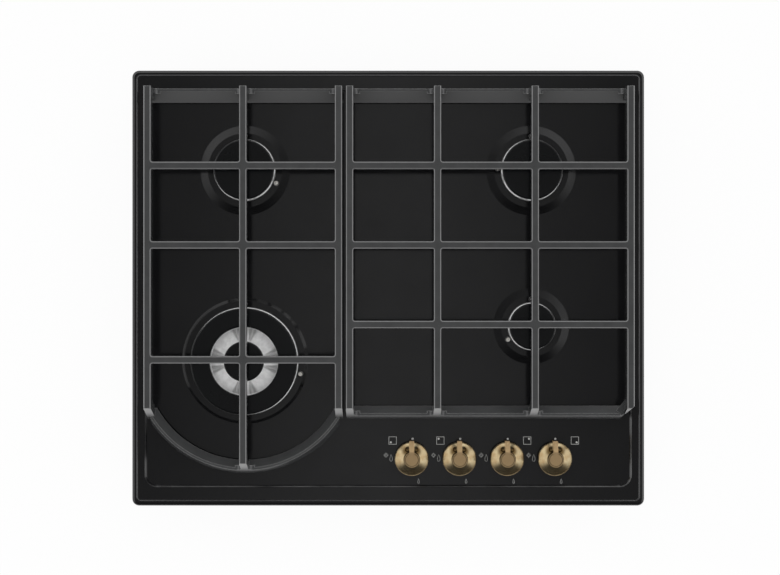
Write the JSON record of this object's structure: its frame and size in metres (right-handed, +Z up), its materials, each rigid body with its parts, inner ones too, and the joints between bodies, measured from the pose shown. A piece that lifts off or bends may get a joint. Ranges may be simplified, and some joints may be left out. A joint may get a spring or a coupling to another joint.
{
  "type": "gas cooktop",
  "caption": "Built-in gas cooktop with pressed enamelled plate, cast pan supports, lift-off burners with caps, and push-and-turn brass knobs at the front.",
  "frame": {"origin": "middle of the bottom box's underside, which is the part's lowest face", "axes": "+X to the right along the front edge, +Y to the rear, +Z up; the knobs are at the front (-Y)"},
  "size_m": [0.6, 0.51, 0.1005],
  "materials": {
    "plate_enamel": "gloss black vitreous enamel on pressed steel",
    "cap_enamel": "satin black enamel on steel",
    "cast_iron": "matt black enamelled cast iron",
    "crown_aluminium": "machined, satin",
    "cast_aluminium": "die cast, matt",
    "tube_aluminium": "drawn tube",
    "knob_brass": "aged brass, lightly brushed",
    "brass_fitting": "turned brass",
    "copper_lead": "copper tube",
    "spring_steel": "stainless, drawn",
    "pipe_steel": "bright steel tube",
    "zinc_sheet": "zinc coated sheet steel",
    "white_ceramic": "glazed white",
    "black_plastic": "moulded, fine grain",
    "black_rubber": "matt",
    "lead_silicone": "silicone sleeve",
    "seal_foam": "closed-cell foam strip"
  },
  "bodies": {
    "hob": {"top_plate": "plate_enamel", "worktop_seal": "seal_foam", "bottom_box": "zinc_sheet", "burner_cup_front_left": "cast_aluminium", "burner_cup_rear_left": "cast_aluminium", "burner_cup_rear_right": "cast_aluminium", "burner_cup_front_right": "cast_aluminium", "injectors": "brass_fitting", "electrode_ceramics": "white_ceramic", "electrode_pins": "spring_steel", "thermocouples": "spring_steel", "tap_body_1": "cast_aluminium", "tap_body_2": "cast_aluminium", "tap_body_3": "cast_aluminium", "tap_body_4": "cast_aluminium", "tap_covers": "zinc_sheet", "safety_magnets": "brass_fitting", "ignition_switches": "black_plastic", "spindle_seals": "black_rubber", "gas_rail": "pipe_steel", "supply_pipe": "pipe_steel", "gas_inlet": "brass_fitting", "burner_tubes": "tube_aluminium", "ignition_module": "black_plastic", "spark_leads": "lead_silicone", "thermocouple_leads": "copper_lead", "switch_harness": "lead_silicone", "cable_gland": "black_plastic", "supply_lead": "lead_silicone", "worktop_clamps": "zinc_sheet", "clamp_screws": "zinc_sheet"},
    "plug_1": {"tap_plug_1": "brass_fitting", "tap_spring_1": "spring_steel"},
    "knob_1": {"tap_spindle_1": "spring_steel", "knob_1": "knob_brass"},
    "plug_2": {"tap_plug_2": "brass_fitting", "tap_spring_2": "spring_steel"},
    "knob_2": {"tap_spindle_2": "spring_steel", "knob_2": "knob_brass"},
    "plug_3": {"tap_plug_3": "brass_fitting", "tap_spring_3": "spring_steel"},
    "knob_3": {"tap_spindle_3": "spring_steel", "knob_3": "knob_brass"},
    "plug_4": {"tap_plug_4": "brass_fitting", "tap_spring_4": "spring_steel"},
    "knob_4": {"tap_spindle_4": "spring_steel", "knob_4": "knob_brass"},
    "crown_front_left": {"flame_crown_front_left": "crown_aluminium"},
    "cap_front_left_ring": {"burner_cap_front_left_ring": "cap_enamel"},
    "cap_front_left_centre": {"burner_cap_front_left_centre": "cap_enamel"},
    "crown_rear_left": {"flame_crown_rear_left": "crown_aluminium"},
    "cap_rear_left": {"burner_cap_rear_left": "cap_enamel"},
    "crown_rear_right": {"flame_crown_rear_right": "crown_aluminium"},
    "cap_rear_right": {"burner_cap_rear_right": "cap_enamel"},
    "crown_front_right": {"flame_crown_front_right": "crown_aluminium"},
    "cap_front_right": {"burner_cap_front_right": "cap_enamel"},
    "pan_support_left": {"pan_support_left": "cast_iron", "support_pads_left": "black_rubber"},
    "pan_support_right": {"pan_support_right": "cast_iron", "support_pads_right": "black_rubber"}
  },
  "joints": [
    {"name": "tap_turn_1", "type": "hinge", "parent": "hob", "child": "plug_1", "pos_m": [0.0274, -0.1992, 0.035], "axis": [0, 0, 1], "range_deg": [0, 198]},
    {"name": "knob_push_1", "type": "slide", "parent": "plug_1", "child": "knob_1", "axis": [0, 0, -1], "range_m": [0, 0.003], "stiffness_N_per_m": 1500, "springref_m": -0.004, "deforming": ["tap_spring_1"]},
    {"name": "tap_turn_2", "type": "hinge", "parent": "hob", "child": "plug_2", "pos_m": [0.0831, -0.1992, 0.035], "axis": [0, 0, 1], "range_deg": [0, 198]},
    {"name": "knob_push_2", "type": "slide", "parent": "plug_2", "child": "knob_2", "axis": [0, 0, -1], "range_m": [0, 0.003], "stiffness_N_per_m": 1500, "springref_m": -0.004, "deforming": ["tap_spring_2"]},
    {"name": "tap_turn_3", "type": "hinge", "parent": "hob", "child": "plug_3", "pos_m": [0.1388, -0.1992, 0.035], "axis": [0, 0, 1], "range_deg": [0, 198]},
    {"name": "knob_push_3", "type": "slide", "parent": "plug_3", "child": "knob_3", "axis": [0, 0, -1], "range_m": [0, 0.003], "stiffness_N_per_m": 1500, "springref_m": -0.004, "deforming": ["tap_spring_3"]},
    {"name": "tap_turn_4", "type": "hinge", "parent": "hob", "child": "plug_4", "pos_m": [0.1945, -0.1992, 0.035], "axis": [0, 0, 1], "range_deg": [0, 198]},
    {"name": "knob_push_4", "type": "slide", "parent": "plug_4", "child": "knob_4", "axis": [0, 0, -1], "range_m": [0, 0.003], "stiffness_N_per_m": 1500, "springref_m": -0.004, "deforming": ["tap_spring_4"]},
    {"name": "crown_lift_front_left", "type": "slide", "parent": "hob", "child": "crown_front_left", "axis": [0, 0, 1], "range_m": [0, 0.008]},
    {"name": "cap_lift_front_left_ring", "type": "slide", "parent": "crown_front_left", "child": "cap_front_left_ring", "axis": [0, 0, 1], "range_m": [0, 0.004]},
    {"name": "cap_lift_front_left_centre", "type": "slide", "parent": "crown_front_left", "child": "cap_front_left_centre", "axis": [0, 0, 1], "range_m": [0, 0.004]},
    {"name": "crown_lift_rear_left", "type": "slide", "parent": "hob", "child": "crown_rear_left", "axis": [0, 0, 1], "range_m": [0, 0.008]},
    {"name": "cap_lift_rear_left", "type": "slide", "parent": "crown_rear_left", "child": "cap_rear_left", "axis": [0, 0, 1], "range_m": [0, 0.004]},
    {"name": "crown_lift_rear_right", "type": "slide", "parent": "hob", "child": "crown_rear_right", "axis": [0, 0, 1], "range_m": [0, 0.008]},
    {"name": "cap_lift_rear_right", "type": "slide", "parent": "crown_rear_right", "child": "cap_rear_right", "axis": [0, 0, 1], "range_m": [0, 0.004]},
    {"name": "crown_lift_front_right", "type": "slide", "parent": "hob", "child": "crown_front_right", "axis": [0, 0, 1], "range_m": [0, 0.008]},
    {"name": "cap_lift_front_right", "type": "slide", "parent": "crown_front_right", "child": "cap_front_right", "axis": [0, 0, 1], "range_m": [0, 0.004]},
    {"name": "support_left_lift", "type": "slide", "parent": "hob", "child": "pan_support_left", "axis": [0, 0, 1], "range_m": [0, 0.06]},
    {"name": "support_right_lift", "type": "slide", "parent": "hob", "child": "pan_support_right", "axis": [0, 0, 1], "range_m": [0, 0.06]}
  ]
}
